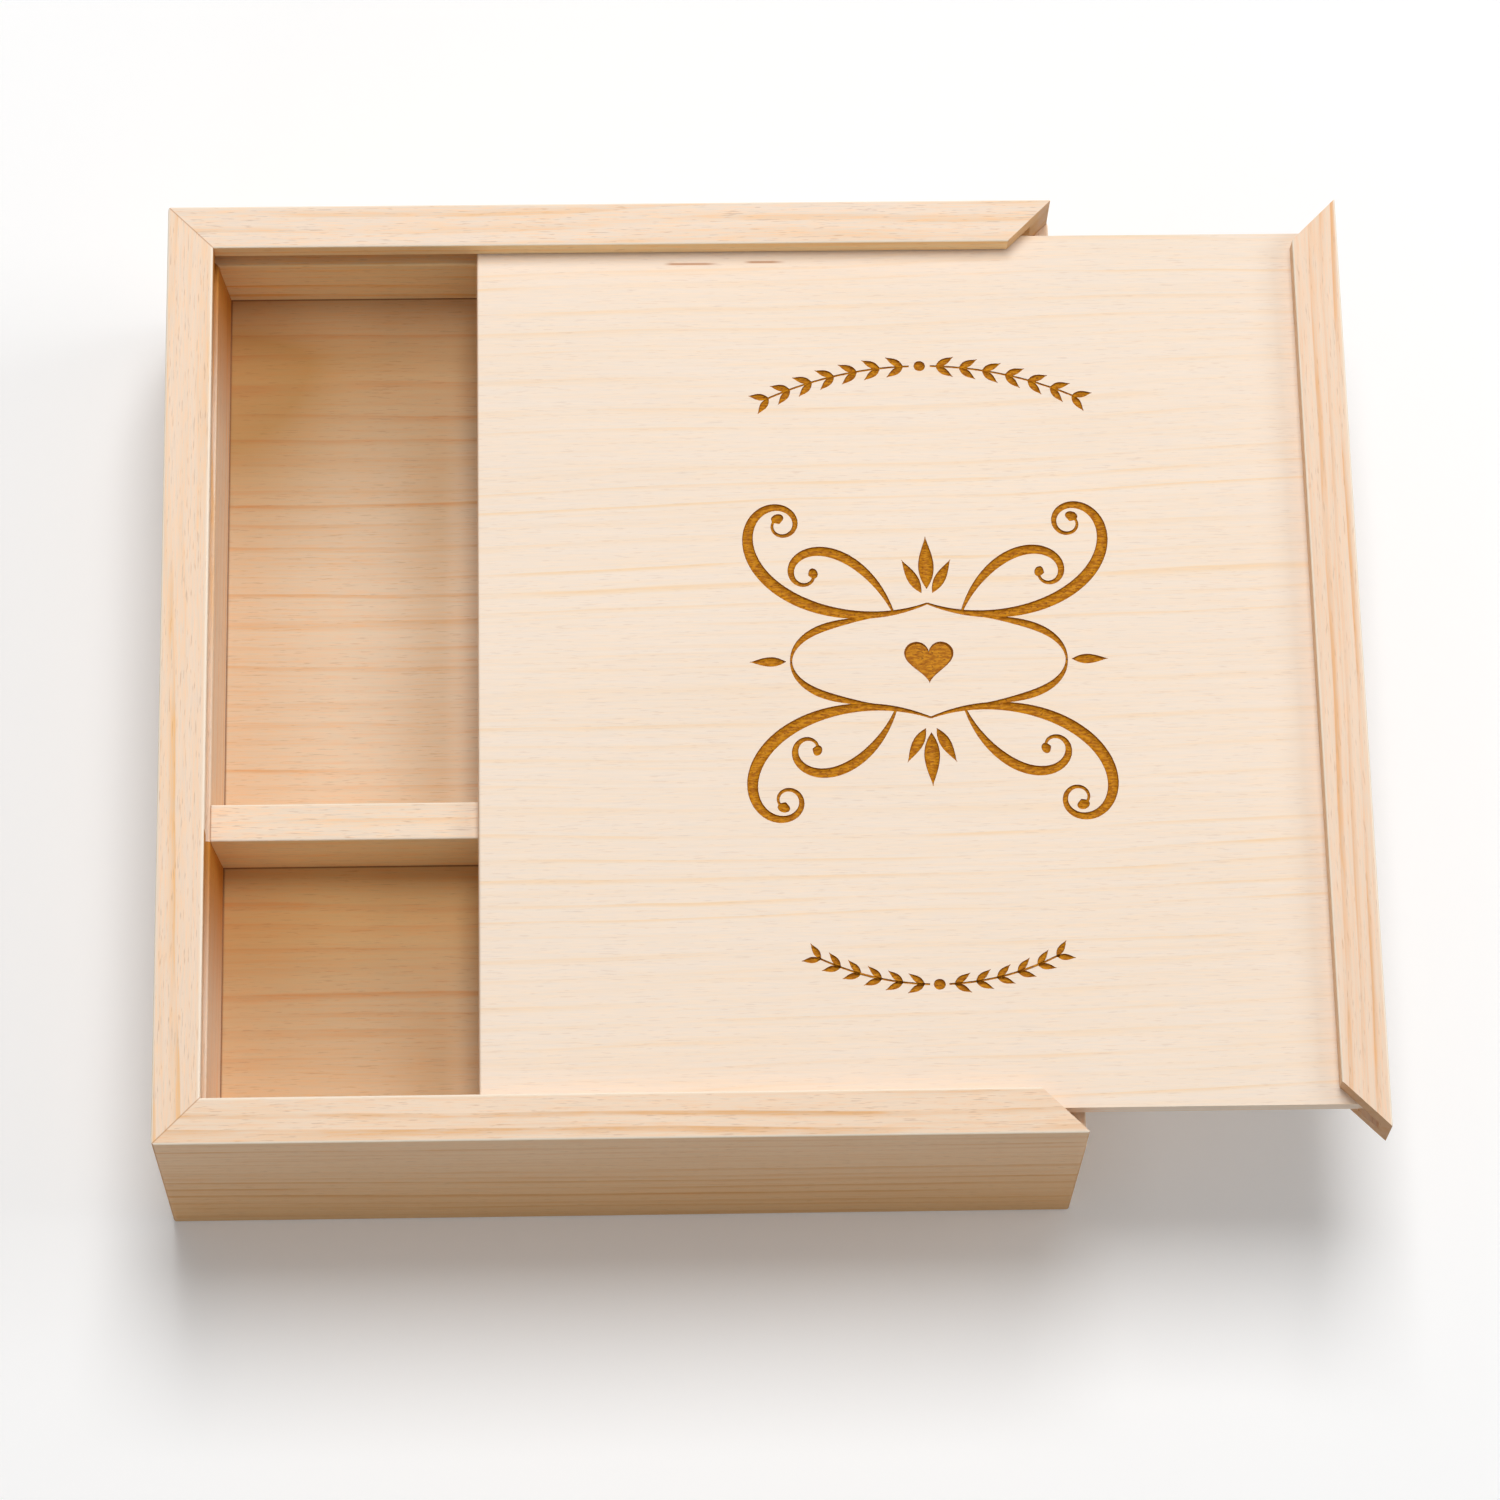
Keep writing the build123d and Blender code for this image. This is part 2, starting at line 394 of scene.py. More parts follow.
def behind(y):
    """Distance to the rear wall, or to the divider for a place in front of it."""
    rear_gap = box_high[1] - WALL - y
    divider_gap = DIVIDER_FRONT - y
    in_front = divider_gap.maths("GREATER_THAN", divider_gap, 0.0)
    return divider_gap * in_front + rear_gap * (1.0 - in_front)


def corner_joint(*corners):
    """Distance to the nearest of the mitres at some corners of the box, for pine()."""

    def distance(finish, x, y):
        inset = insets(x, y)
        gaps = [abs(inset[one] - inset[other]) for one, other in corners]
        nearest = gaps[0]
        for gap in gaps[1:]:
            nearest = nearest.least(gap)
        return nearest

    return distance


# A painted highlight: a pale line along the inner edge of each lip.
RIM_HIGHLIGHT = 0.8
RIM_LINE = (0.2, 0.9)  # from the edge of the lip: where the line is full, and gone
RIM_RISE = (LID_FACE + 1.5, LID_FACE + 3.0)  # it shows over this height


def lip_highlight(side):
    """A painted highlight: a pale line along the inner edge of the lip on one side of the box, for
    pine().
    """

    def share(finish, x, y, up):
        line = finish.step(LIP - insets(x, y)[side], *RIM_LINE, RIM_HIGHLIGHT, 0.0)
        return line * finish.step(up, *RIM_RISE)

    return share


OUTER_SKIN = (2.0, 3.5)  # how far in from the outer faces a place counts as inside
UPRIGHT = (0.2, 0.6)  # upright part of the normal: where a face counts as upright, and not
UNDER_LIP = (LID_FACE + 0.4, LID_FACE + 0.9)


def wall_painted_shade(inner, outer, inner_front=None, foot=0.0, reach=70.0):
    """How much painted shade the sides of a wall get, for pine().

    The inner side, with everything under the lip, has the share inner of a warm painted shade.
    Where inner_front is given, that changes to it over reach millimetres from the rear wall or the
    divider, as painted shade that those cast.  The outer side has outer at the height of the lid
    and foot more at its foot, painted shade that deepens towards the table.
    """

    def share(finish, x, y, up, n_up):
        left, right, front, rear = insets(x, y).values()
        within = finish.step(left.least(right).least(front.least(rear)), *OUTER_SKIN)
        upright = finish.step(n_up, *UPRIGHT, 1.0, 0.0)
        under_lip = finish.step(up, *UNDER_LIP, 1.0, 0.0)
        inner_share = inner
        if inner_front is not None:
            inner_share = finish.step(behind(y), 0.0, reach, inner, inner_front)
        outer_share = finish.step(up, 0.0, LID_FACE, outer + foot, outer)
        inside = within * inner_share * upright.most(under_lip)
        return inside + (1.0 - within) * upright * outer_share

    return share


# Each wall's painted shade is warm inside the box and darker on its outer side, most at the front
# wall's foot.
wall_finishes = {
    "front_wall": dict(
        grain="X", heart=(-251.0, -91.2), ring=3.1, drift=0.004, seed=1.3,
        pale=tone(248, 222, 196), late=tone(228, 177, 124), streak=0.95, fibre=1.5,
        highlight_rim=lip_highlight("front"), painted_shades=((wall_painted_shade(0.4, 0.32, foot=0.35), AMBER_SHADE),),
        joint=corner_joint(("left", "front")),
    ),
    "rear_wall": dict(
        grain="X", heart=(160, -30), ring=3.6, drift=-0.006, seed=5.7,
        pale=tone(248, 226, 205), late=tone(241, 190, 132), fibre=1.5,
        painted_shades=((wall_painted_shade(0.42, 0.1), tone(255, 228, 96)),),
        joint=corner_joint(("left", "rear")),
    ),
    "left_wall": dict(
        grain="Y", heart=(-150, -30), ring=3.2, drift=0.008, seed=9.1,
        pale=tone(248, 222, 198), late=tone(242, 190, 132), fibre=1.5, highlight_rim=lip_highlight("left"),
        painted_shades=((wall_painted_shade(1.0, 0.1, inner_front=0.0, reach=45.0), tone(206, 150, 56)),),
        joint=corner_joint(("left", "rear"), ("left", "front")),
    ),
    "right_wall": dict(
        grain="Y", heart=(150, -30), ring=4.2, drift=-0.005, seed=12.9,
        pale=WALL_PALE, late=WALL_LATE, streak=0.8, fibre=1.5,
        painted_shades=((wall_painted_shade(0.5, 0.1), AMBER_SHADE),),
        joint=corner_joint(("right", "rear"), ("right", "front")),
    ),
}
for wall, qualities in wall_finishes.items():
    put_finish(wall, pine(wall + "_pine", **qualities))

# --- Base panel -----------------------------------------------------------------------
# A wide thin pine board let into grooves of the walls, of warmer wood than theirs, with its rings
# further apart and sharper.  It has brown and amber painted shade, most towards the rear of each
# compartment, and a dark line, partly the joint and partly painted contact shade, runs where it
# meets the walls and the divider.


# The dark line drawn at this distance is partly the joint and partly painted contact shade.
def floor_edge(finish, x, y):
    """Distance to the line where a wall or the divider stands on the base panel, for pine()."""
    left, right, front, rear = insets(x, y).values()
    walls = (left - (LEFT_WALL - WALL)).least(right).least(front.least(rear)) - WALL
    return walls.least(abs(y - DIVIDER_FRONT))


def in_small(y):
    """1 in the small compartment, in front of the divider, and 0 in the large one."""
    return y.maths("LESS_THAN", y, DIVIDER_FRONT)


def floor_painted_shade(finish, x, y, up, n_up):
    """How much painted shade the base panel gets, for pine(): most along the wall or divider
    behind each part of it, some along the left wall, and a painted shadow up to the end of the
    lid.  Its steps are in millimetres from those walls."""
    rear_gap = behind(y)
    left_gap = insets(x, y)["left"] - LEFT_WALL

    # painted shade from the wall or divider behind: towards the rear, less right at the wall,
    # where it is amber, and in the small part
    rear = finish.step(rear_gap, 14.0, 84.0, 0.90, 0.0)
    rear = rear - finish.step(rear_gap, 2.0, 16.0, 0.52, 0.0)
    rear = rear * finish.step(left_gap, 10.0, 56.0, 1.0, 0.8) * (1.0 - in_small(y) * 0.22)

    # painted shade along the left wall
    left = finish.step(rear_gap, 6.0, 60.0, 0.34, 0.30)
    left = left * finish.step(left_gap, 0.0, 30.0, 1.0, 0.0) * (1.0 - in_small(y) * 0.6)

    # a band beside the end of the lid, where it shades the panel
    lid_shadow = finish.step(rear_gap, 16.0, 60.0, 0.0, 0.27)
    lid_shadow = lid_shadow * finish.step(left_gap, 34.0, 48.0)
    lid_shadow = lid_shadow * finish.step(left_gap, 48.0, 54.0, 1.0, 0.0)
    return rear + left + lid_shadow


def floor_warm_shade(finish, x, y, up, n_up):
    """How much warm painted shade the base panel gets: amber most in front of the rear wall and
    the divider, for pine().
    """
    small = in_small(y)
    return finish.step(behind(y), 5.0, 34.0, small * 0.28 + 0.35, small * 0.18)


put_finish("base_panel", pine(
    "base_panel_pine", "X", heart=(-300, -60), ring=5.2, drift=0.006, narrow=0.22, seed=21.4,
    pale=tone(237, 209, 179), late=tone(229, 172, 116), streak=0.8, fibre=1.3,
    painted_shades=((floor_painted_shade, tone(188, 162, 112)), (floor_warm_shade, tone(255, 226, 140))),
    seam=floor_edge,
))

# --- Divider --------------------------------------------------------------------------
# A short pine board glued across the inside, between the left and right walls and level
# with the ledges that the lid runs on.


def divider_ends(finish, x, y):
    """Distance to the two ends of the divider, for pine()."""
    inset = insets(x, y)
    return inset["left"].least(inset["right"]) - WALL


# The upright faces get a warm painted shade, as shade falls on them.
UPRIGHT_SHADE = 0.35


def upright_painted_shade(finish, x, y, up, n_up):
    """How much painted shade the upright faces of a board get, for pine()."""
    return finish.step(n_up, *UPRIGHT, UPRIGHT_SHADE, 0.0)


put_finish("divider", pine(
    "divider_pine", "X", heart=(-90, 20), ring=3.2, drift=-0.006, seed=27.8,
    pale=WALL_PALE, late=tone(243, 190, 130), streak=0.55, fibre=1.6, highlight_under_lid=0.9,
    painted_shades=((upright_painted_shade, tone(255, 246, 124)),), joint=divider_ends,
))

# --- Lid rail -------------------------------------------------------------------------
# The upper strip of the right-hand side: a pine board glued to the end of the lid panel,
# with a deep groove for it.  Its mitred ends stand open while the lid is drawn out.

put_finish("lid_rail", pine(
    "lid_rail_pine", "Y", heart=(260, 20), ring=3.0, drift=0.004, seed=33.2,
    pale=tone(246, 219, 194), late=tone(234, 180, 130), fibre=1.3,
    painted_shades=((upright_painted_shade, AMBER_SHADE),),
))

# --- Lid panel ------------------------------------------------------------------------
# A thin pine panel that runs in the wall grooves, engraved on top with scrolls, a heart
# and two laurel sprigs.  The engraving is burnt in, flat at the bottom with sloping sides,
# and each line swells and thins along its length.

LID_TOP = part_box("lid_panel")[1][2]
ENGRAVED_DEPTH = 0.42 * MM
MIDDLE = (69.0, 0.0)  # of the engraving, in millimetres
THINNEST = 0.06  # half the width of the finest line
SLOPING_TOP = 1.06  # the cutter over the face is so much wider than a line
BURNT_GLOSS = 0.15

lid_pine = pine(
    "lid_panel_pine", "X", heart=(-520, -150), ring=4.8, drift=-0.024, narrow=0.15, sway=0.8,
    seed=40.6, pale=tone(248, 230, 212), late=tone(247, 213, 172), streak=0.75, fibre=0.7,
    resin=((11.5, 25.0, 96.2), (29.5, 40.0, 96.6)),
)


def burnt_floor():
    """The bottom of the engraving: mottled brown with sooty specks."""
    finish = Finish("burnt_floor")
    (x, y, z), _ = finish.places()
    mottle = finish.clouds(finish.joined(x / 1.6, y / 0.5, z), 3.0)
    specks = finish.clouds(finish.joined(x / 0.7, y / 0.35, z + 7.0), 2.0)
    brown = finish.blend(finish.step(mottle, 0.35, 0.65), tone(168, 98, 0), tone(210, 138, 12))
    soot = finish.step(specks, 0.56, 0.70, 0.0, 0.8)
    finish.surface({
        "Base Color": finish.blend(soot, brown, tone(112, 58, 0)),
        "Roughness": 0.66 - mottle * 0.12,
        "Normal": finish.relief(mottle, 0.08 * MM, 0.6),
        "Specular IOR Level": BURNT_GLOSS,
    })
    return finish.material


def scorched_side():
    """The sloping sides of the engraving: darker, in thin upright layers."""
    finish = Finish("scorched_side")
    (x, y, z), _ = finish.places()
    smoke = finish.clouds(finish.joined(x / 0.8, y / 0.8, z / 0.2), 2.0)
    finish.surface({
        "Base Color": finish.blend(smoke, tone(122, 66, 4), tone(164, 98, 12)),
        "Roughness": 0.7,
        "Specular IOR Level": BURNT_GLOSS,
    })
    return finish.material


burnt = burnt_floor()
scorched = scorched_side()


# How many points a line has, and how it thins towards its ends
STROKE_STATIONS = 110
STROKE_CROWDING = 1.6  # they crowd towards the curl
STROKE_END = 0.5  # how wide a scroll starts and ends
STROKE_TAPER = 1.4
LEAF_STATIONS = 24
LEAF_BELLY = 0.8  # puts the widest part of a leaf nearer its foot
LEAF_TAPER = 1.2


def stroke(x, y, heading, length, turn, end_turn, bend, wide, swell, ball):
    """A scroll: the points of a line that curls up, with half its width at each.

    It turns by turn degrees a millimetre at first and by end_turn at last, the later the
    higher bend is.  It is widest at the share swell of its length, and ends in a round drop
    of radius ball.
    """
    points, heading, last = [], math.radians(heading), 0.0
    skew = math.log(0.5) / math.log(swell)
    for station in range(STROKE_STATIONS + 1):
        share = 1 - (1 - station / STROKE_STATIONS) ** STROKE_CROWDING
        run = (share - last) * length
        turned = math.radians(turn + (end_turn - turn) * ((share + last) / 2) ** bend) * run
        x += math.cos(heading + turned / 2) * run
        y += math.sin(heading + turned / 2) * run
        heading += turned
        last = share
        fullness = math.sin(math.pi * share ** skew) ** STROKE_TAPER
        half = (STROKE_END + (wide - STROKE_END) * fullness) / 2
        left = (1 - share) * length
        if left < 2 * ball:
            half = max(half, math.sqrt(max(ball ** 2 - (ball - left) ** 2, 0.0)))
        points.append((x, y, max(half, THINNEST)))
    return points


def leaf(x, y, heading, length, wide):
    """A straight leaf: its points, with half its width at each."""
    points, heading = [], math.radians(heading)
    for station in range(LEAF_STATIONS + 1):
        share = station / LEAF_STATIONS
        run = length * share
        half = wide * math.sin(math.pi * share ** LEAF_BELLY) ** LEAF_TAPER / 2
        points.append((
            x + math.cos(heading) * run, y + math.sin(heading) * run, max(half, THINNEST),
        ))
    return points


quarter = [
    stroke(
        x=0.0, y=13.5, heading=-22, length=78, turn=1.6, end_turn=34, bend=4.5,
        wide=3.0, swell=0.45, ball=1.30,
    ),
    stroke(
        x=7.5, y=11.2, heading=70, length=42, turn=-2.0, end_turn=-36, bend=3.5,
        wide=2.5, swell=0.45, ball=1.15,
    ),
    stroke(
        x=12.5, y=10.3, heading=-8, length=22.4, turn=-0.5, end_turn=-10.61, bend=2.2,
        wide=1.9, swell=0.5, ball=0.0,
    ),
    leaf(x=1.2, y=16.0, heading=62, length=9.0, wide=2.6),
]
scroll_lines = bpy.data.curves.new("scrolls", "CURVE")
scroll_lines.dimensions = "3D"
for up_or_down in (1, -1):
    lines = [[(side * x, y, half) for x, y, half in line] for side in (1, -1) for line in quarter]
    lines.append(leaf(x=0.0, y=17.0, heading=90, length=12.5, wide=3.8))
    if up_or_down == 1:
        for side in (1, -1):
            lines.append(leaf(x=side * 31.6, y=0.0, heading=90 - side * 90, length=8.0, wide=2.4))
    for line in lines:
        spline = scroll_lines.splines.new("POLY")
        spline.points.add(len(line) - 1)
        for point, (x, y, half) in zip(spline.points, line):
            point.co = ((MIDDLE[0] + x) * MM, (MIDDLE[1] + y * up_or_down) * MM, LID_TOP, 1)
            point.radius = half * MM


class Carving(Nodes):
    """A geometry tree that makes a cutter for the engraving, from sizes that it names."""

    COMMON_SIZES = {"Depth": ENGRAVED_DEPTH, "Surface": LID_TOP}
    # the section of a cutter, in units of half the line's width: how far it stands out of
    # the face, and half its width at the bottom
    OVER_FACE = -0.3
    FOOT = 0.8
    FLAT = 0.9  # a face more level than this is the bottom of a line

    def __init__(self, name, kinds):
        """kinds gives the kind of each size that only this tree has."""
        super().__init__(bpy.data.node_groups.new(name, "GeometryNodeTree"))
        kinds = {"Lines": "Geometry", **kinds, **dict.fromkeys(self.COMMON_SIZES, "Float")}
        sockets = self.tree.interface
        for size, kind in kinds.items():
            sockets.new_socket(size, in_out="INPUT", socket_type="NodeSocket" + kind)
        sockets.new_socket("Cutter", in_out="OUTPUT", socket_type="NodeSocketGeometry")
        given = self.tree.nodes.new("NodeGroupInput")
        self.given = {size: Reading(self, given.outputs[size]) for size in kinds}

    def line(self, start, end, points):
        """A straight line of some points."""
        line = self.node("GeometryNodeCurvePrimitiveLine", {}, {"Start": start, "End": end})
        return self.node("GeometryNodeResampleCurve", {}, {"Curve": line, "Count": points})

    def arc(self, points, radius, start, sweep):
        """Part of a level circle round the origin, from start over sweep, in radians."""
        return self.node(
            "GeometryNodeCurveArc", {},
            {"Resolution": points, "Radius": radius, "Start Angle": start, "Sweep Angle": sweep},
        )

    def widened(self, line, half):
        """A line with half its width set at each point."""
        return self.node("GeometryNodeSetCurveRadius", {}, {"Curve": line, "Radius": half})

    def together(self, *shapes):
        """Several shapes as one."""
        join = self.node("GeometryNodeJoinGeometry", {}, {})
        for shape in shapes:
            self.feed(join.socket.node.inputs["Geometry"], shape)
        return join

    def sweep(self, lines):
        """Sweep a section with sloping sides along lines, as wide as the lines' radius."""
        level = self.node("GeometryNodeSetCurveNormal", {"mode": "Z_UP"}, {"Curve": lines})
        corners = {
            "Point 1": (-SLOPING_TOP, self.OVER_FACE, 0),
            "Point 2": (SLOPING_TOP, self.OVER_FACE, 0),
            "Point 3": (self.FOOT, 1, 0),
            "Point 4": (-self.FOOT, 1, 0),
        }
        kind = "GeometryNodeCurvePrimitiveQuadrilateral"
        section = self.node(kind, {"mode": "POINTS"}, corners)
        radius = self.node("GeometryNodeInputRadius", {}, {})
        solid = self.node(
            "GeometryNodeCurveToMesh", {},
            {"Curve": level, "Profile Curve": section, "Scale": radius, "Fill Caps": True},
        )
        x, y, z = self.parts(self.node("GeometryNodeInputPosition", {}, {}))
        place = self.joined(x, y, z.most(self.given["Surface"] - self.given["Depth"]))
        inputs = {"Geometry": solid, "Position": place}
        return self.node("GeometryNodeSetPosition", {}, inputs)

    def finished(self, solid):
        """Close the tree with its materials, and give its result as a plain mesh."""
        kind = "GeometryNodeSetMaterial"
        solid = self.node("GeometryNodeRealizeInstances", {}, {"Geometry": solid})
        solid = self.node(kind, {}, {"Geometry": solid, "Material": scorched})
        _, _, normal_up = self.parts(self.node("GeometryNodeInputNormal", {}, {}))
        flat = normal_up.maths("GREATER_THAN", abs(normal_up), self.FLAT)
        solid = self.node(kind, {}, {"Geometry": solid, "Selection": flat, "Material": burnt})
        self.feed(self.tree.nodes.new("NodeGroupOutput").inputs["Cutter"], solid)

    def cut(self, carrier, sizes):
        """The cutter as an object, made by this tree from the data of a carrier."""
        source = bpy.data.objects.new("lines", carrier)
        bpy.context.scene.collection.objects.link(source)
        modifier = source.modifiers.new("carving", "NODES")
        modifier.node_group = self.tree
        sizes = {**sizes, **self.COMMON_SIZES}
        for item in self.tree.interface.items_tree:
            if item.name in sizes:
                modifier[item.identifier] = sizes[item.name]
        seen = source.evaluated_get(bpy.context.evaluated_depsgraph_get())
        cutter = bpy.data.objects.new("cutter", bpy.data.meshes.new_from_object(seen))
        bpy.data.objects.remove(source)
        bpy.context.scene.collection.objects.link(cutter)
        return cutter


scrolls = Carving("scrolls", {})
scrolls.finished(scrolls.sweep(scrolls.given["Lines"]))
cutters = [scrolls.cut(scroll_lines, {})]

# Places on a laurel sprig, as shares of the space from one pair of leaves to the next
FIRST_PAIR = 0.7  # from the middle to the first pair
STEM_START = 0.45  # from the middle to the start of the stem
STEM_SHORT = 0.6  # how much shorter the stem is than the sprig
LEAF_POINTS = 12
STEM_POINTS = 24
DOT_POINTS = 15


def laurel_tree():
    """Two sprigs on an arc that meet at a dot, with pairs of leaves on each."""
    tree = Carving("laurel", {
        "Centre": "Vector", "Turn": "Float", "Radius": "Float", "Half Angle": "Float",
        "Pairs": "Int", "Leaf Length": "Float", "Leaf Width": "Float", "Lean": "Float",
        "Stem Width": "Float", "Dot": "Float",
    })
    given = tree.given
    middle = math.pi / 2
    pace = given["Half Angle"] / given["Pairs"]
    share = tree.node("GeometryNodeSplineParameter", {}, {})

    # one leaf, lying along X
    blade = tree.line((0, 0, 0), tree.joined(given["Leaf Length"], 0.0, 0.0), LEAF_POINTS)
    belly = share.maths("SINE", share ** LEAF_BELLY * math.pi) ** LEAF_TAPER
    half = belly * given["Leaf Width"] / 2
    blade = tree.widened(blade, half.most(THINNEST * MM))

    # leaves in pairs along the right-hand sprig
    first = middle - pace * FIRST_PAIR
    feet_sweep = pace * -1 * (given["Pairs"] - 1)
    feet = tree.arc(given["Pairs"], given["Radius"], first, feet_sweep)
    index = tree.node("GeometryNodeInputIndex", {}, {})
    grown = []
    for lean in (given["Lean"], given["Lean"] * -1):
        euler = tree.joined(0.0, 0.0, first - pace * index - middle + lean)
        turn = tree.node("FunctionNodeEulerToRotation", {}, {"Euler": euler})
        inputs = {"Points": feet, "Instance": blade, "Rotation": turn}
        grown.append(tree.node("GeometryNodeInstanceOnPoints", {}, inputs))

    # the stem, the same sprig mirrored, and the dot between them
    stem_sweep = pace * STEM_SHORT - given["Half Angle"]
    stem = tree.arc(STEM_POINTS, given["Radius"], middle - pace * STEM_START, stem_sweep)
    sprig = tree.together(*grown, tree.widened(stem, given["Stem Width"] / 2))
    sprig = tree.node("GeometryNodeRealizeInstances", {}, {"Geometry": sprig})
    other = tree.node("GeometryNodeTransform", {}, {"Geometry": sprig, "Scale": (-1, 1, 1)})
    dot_start = tree.joined(given["Dot"] * -1, given["Radius"], 0.0)
    dot_end = tree.joined(given["Dot"], given["Radius"], 0.0)
    dot = tree.line(dot_start, dot_end, DOT_POINTS)
    half = (1.0 - (share * 2 - 1) ** 2).most(0.0) ** 0.5 * given["Dot"]
    dot = tree.widened(dot, half.most(THINNEST * MM))

    # all of it turned and moved to its place
    whole = {
        "Geometry": tree.together(sprig, other, dot),
        "Translation": given["Centre"],
        "Rotation": tree.joined(0.0, 0.0, given["Turn"]),
    }
    tree.finished(tree.sweep(tree.node("GeometryNodeTransform", {}, whole)))
    return tree


laurel = laurel_tree()
for centre_y, turn, radius, half_angle, pairs, leaf_length, leaf_width in (
    (-10.0, 0.0, 81.0, 26.0, 7, 4.6, 1.7),
    (-18.0, 180.0, 57.0, 28.0, 6, 4.2, 1.5),
):
    cutters.append(laurel.cut(bpy.data.meshes.new("none"), {
        "Centre": (MIDDLE[0] * MM, (MIDDLE[1] + centre_y) * MM, LID_TOP),
        "Turn": math.radians(turn),
        "Radius": radius * MM,
        "Half Angle": math.radians(half_angle),
        "Pairs": pairs,
        "Leaf Length": leaf_length * MM,
        "Leaf Width": leaf_width * MM,
        "Lean": math.radians(32.0),
        "Stem Width": 0.45 * MM,
        "Dot": 1.3 * MM,
    }))

HEART_WIDTH = 10.88  # in millimetres
HEART_POINTS = 56
HEART_FOOT = 0.93  # its size at the bottom, as SLOPING_TOP is at the face
OVER_HEART = 0.3 * MM


def heart_outline(width):
    """The points of a heart of some width, point down, about the middle of the engraving."""
    scale = width / 32  # the curve below is 32 wide and stands about the origin
    for point in range(HEART_POINTS):
        t = 2 * math.pi * point / HEART_POINTS
        x = 16 * math.sin(t) ** 3
        y = 13 * math.cos(t) - 5 * math.cos(2 * t) - 2 * math.cos(3 * t) - math.cos(4 * t) + 1
        yield (MIDDLE[0] + x * scale) * MM, (MIDDLE[1] + y * scale) * MM


heart = bmesh.new()
over, under = [
    [heart.verts.new((x, y, LID_TOP + height)) for x, y in heart_outline(HEART_WIDTH * spread)]
    for height, spread in ((OVER_HEART, SLOPING_TOP), (-ENGRAVED_DEPTH, HEART_FOOT))
]
for point in range(HEART_POINTS):
    after = (point + 1) % HEART_POINTS
    heart.faces.new((over[point], over[after], under[after], under[point]))
for ring in (over, under):
    heart.faces.new(ring).material_index = 1
bmesh.ops.recalc_face_normals(heart, faces=heart.faces)
heart_mesh = bpy.data.meshes.new("heart")
heart.to_mesh(heart_mesh)
heart.free()
heart_mesh.materials.append(scorched)
heart_mesh.materials.append(burnt)
cutters.append(bpy.data.objects.new("cutter", heart_mesh))
bpy.context.scene.collection.objects.link(cutters[-1])

# the engraved panel: a copy of the plain one, its corners merged, with every cutter taken out
MERGE = 0.001 * MM
plain = bmesh.new()
plain.from_mesh(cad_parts["lid_panel"].data)
bmesh.ops.remove_doubles(plain, verts=plain.verts, dist=MERGE)
panel_mesh = bpy.data.meshes.new("lid_panel_engraved")
plain.to_mesh(panel_mesh)
plain.free()
panel_mesh.materials.clear()
panel_mesh.materials.append(lid_pine)
panel = bpy.data.objects.new("lid_panel_engraved", panel_mesh)
bpy.context.scene.collection.objects.link(panel)
for cutter in cutters:
    cutting = panel.modifiers.new("engraving", "BOOLEAN")
    cutting.operation = "DIFFERENCE"
    cutting.solver = "EXACT"
    cutting.use_self = True
    cutting.material_mode = "TRANSFER"
    cutting.object = cutter
seen_panel = panel.evaluated_get(bpy.context.evaluated_depsgraph_get())
engraved = bpy.data.meshes.new_from_object(seen_panel)
panel.modifiers.clear()
panel.data = engraved
for cutter in cutters:
    bpy.data.objects.remove(cutter)
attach(panel, "lid")
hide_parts("lid_panel")

# --- Table, light and view ------------------------------------------------------------
# A plain white table.  The main soft lamp hangs high behind the box, a weaker one stands
# lower on the right and a faint one in front, and the room gives the rest of the light, so
# the tops are the brightest and the shadow falls to the front.

TABLE_SIZE = 6.0
LAMP_FAR = 2.6
ROOM_LIGHT = 0.25
TABLE_GREY = tone(205, 203, 200)
TABLE_GLOW = 0.035  # lifts the open table to white where it is seen

half = TABLE_SIZE / 2
corners = [(-half, -half, 0), (half, -half, 0), (half, half, 0), (-half, half, 0)]
table_mesh = bpy.data.meshes.new("table")
table_mesh.from_pydata(corners, [], [(0, 1, 2, 3)])
table = bpy.data.objects.new("table", table_mesh)
bpy.context.scene.collection.objects.link(table)


def grey(level):
    """A grey of a level of linear light, where 1 is white."""
    return (level, level, level, 1.0)


def backdrop_share(nodes):
    """1 where the table or room is seen, straight or in glass or gloss; 0 where it gives light."""
    seen = nodes.node("ShaderNodeLightPath", {}, {}, output="Is Camera Ray")
    in_gloss = nodes.beside(seen, "Is Glossy Ray")
    in_glass = nodes.beside(seen, "Is Transmission Ray")
    return seen.most(in_gloss).most(in_glass)


white = Finish("table_white")
white.surface({
    "Base Color": white.blend(backdrop_share(white), TABLE_GREY, grey(1.0)),
    "Emission Color": white.blend(backdrop_share(white), grey(0.0), grey(TABLE_GLOW)),
    "Emission Strength": 1.0,
    "Roughness": 1.0,
    "Specular IOR Level": 0.0,
})
table_mesh.materials.append(white.material)

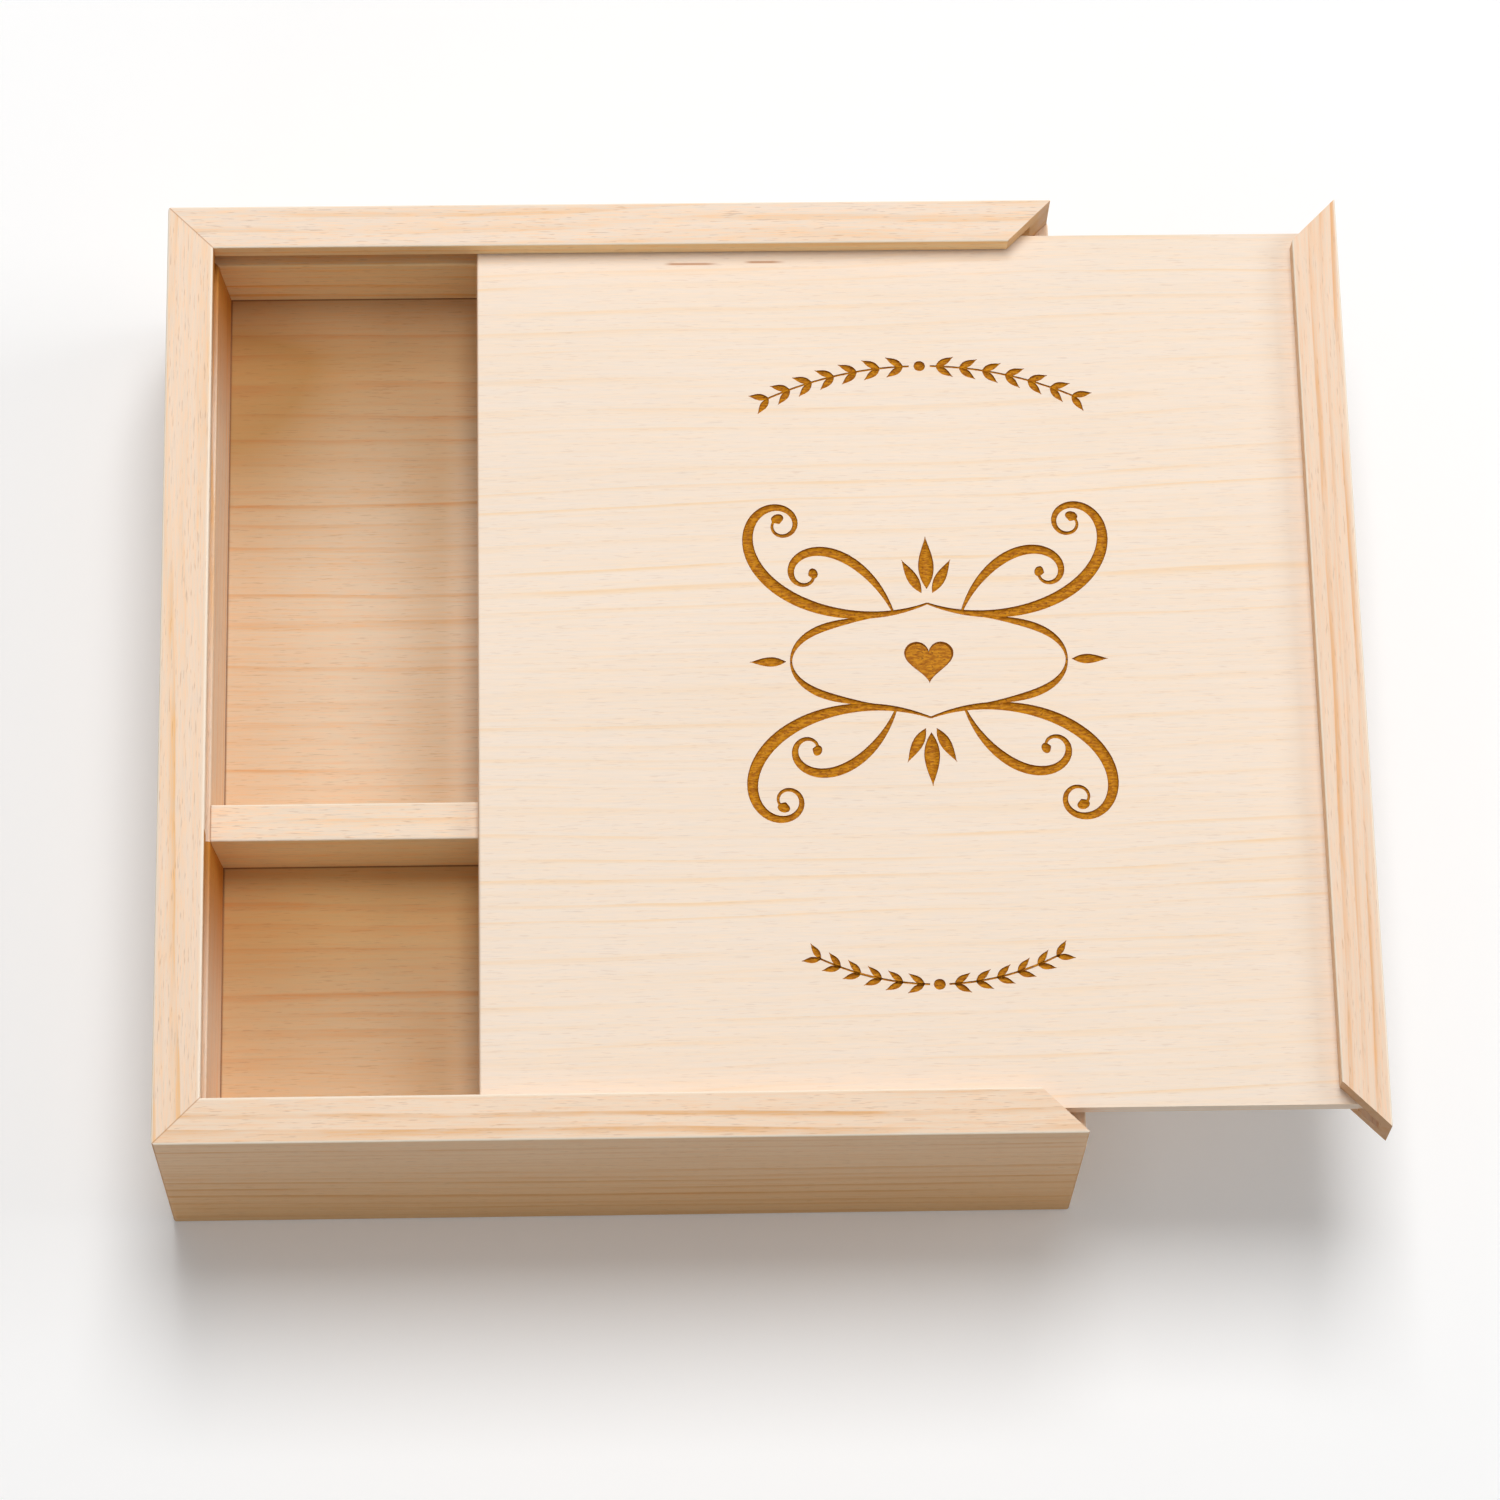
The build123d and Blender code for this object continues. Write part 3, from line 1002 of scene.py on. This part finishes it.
room = bpy.data.worlds.new("room")
room.use_nodes = True
bpy.context.scene.world = room
air = Nodes(room.node_tree)
glow = air.blend(backdrop_share(air), grey(ROOM_LIGHT), grey(1.0))
air.feed(room.node_tree.nodes["Background"].inputs["Color"], glow)


def softbox(name, height, heading, size, level):
    """A soft lamp aimed at the box from height degrees up and heading degrees round from the
    rear towards the right; level is its share of full light on a flat board."""
    height, heading = math.radians(height), math.radians(heading)
    lamp_data = bpy.data.lights.new(name, "AREA")
    lamp_data.shape = "RECTANGLE"
    lamp_data.size, lamp_data.size_y = size
    lamp_data.energy = level * (math.pi * LAMP_FAR) ** 2 / math.sin(height)
    lamp = bpy.data.objects.new(name, lamp_data)
    bpy.context.scene.collection.objects.link(lamp)
    towards = Vector((
        math.sin(heading) * math.cos(height),
        math.cos(heading) * math.cos(height),
        math.sin(height),
    ))
    lamp.location = towards * LAMP_FAR
    lamp.rotation_euler = towards.to_track_quat("Z", "Y").to_euler()
    lamp.visible_camera = False


softbox("main_softbox", height=67.0, heading=7.0, size=(1.0, 1.5), level=0.60)
softbox("side_softbox", height=36.0, heading=84.0, size=(1.2, 1.0), level=0.105)
softbox("front_softbox", height=22.0, heading=184.0, size=(1.6, 0.8), level=0.028)

# The camera: its place, where it looks in degrees round from the rear and down, and its roll
EYE = Vector((-0.0025, -0.4309, 1.1751))
EYE_HEADING = 4.40
EYE_DOWN = 69.79
EYE_ROLL = 3.48
LENS = 130.43
camera_data = bpy.data.cameras.new("view")
camera_data.lens = LENS
camera_data.sensor_width = 36.0
camera_data.clip_start = 0.05
camera = bpy.data.objects.new("view", camera_data)
bpy.context.scene.collection.objects.link(camera)
camera.matrix_world = (
    Matrix.Translation(EYE)
    @ Matrix.Rotation(math.radians(-EYE_HEADING), 4, "Z")
    @ Matrix.Rotation(math.radians(90 - EYE_DOWN), 4, "X")
    @ Matrix.Rotation(math.radians(EYE_ROLL), 4, "Z")
)
bpy.context.scene.camera = camera
bpy.context.scene.view_settings.view_transform = "Standard"
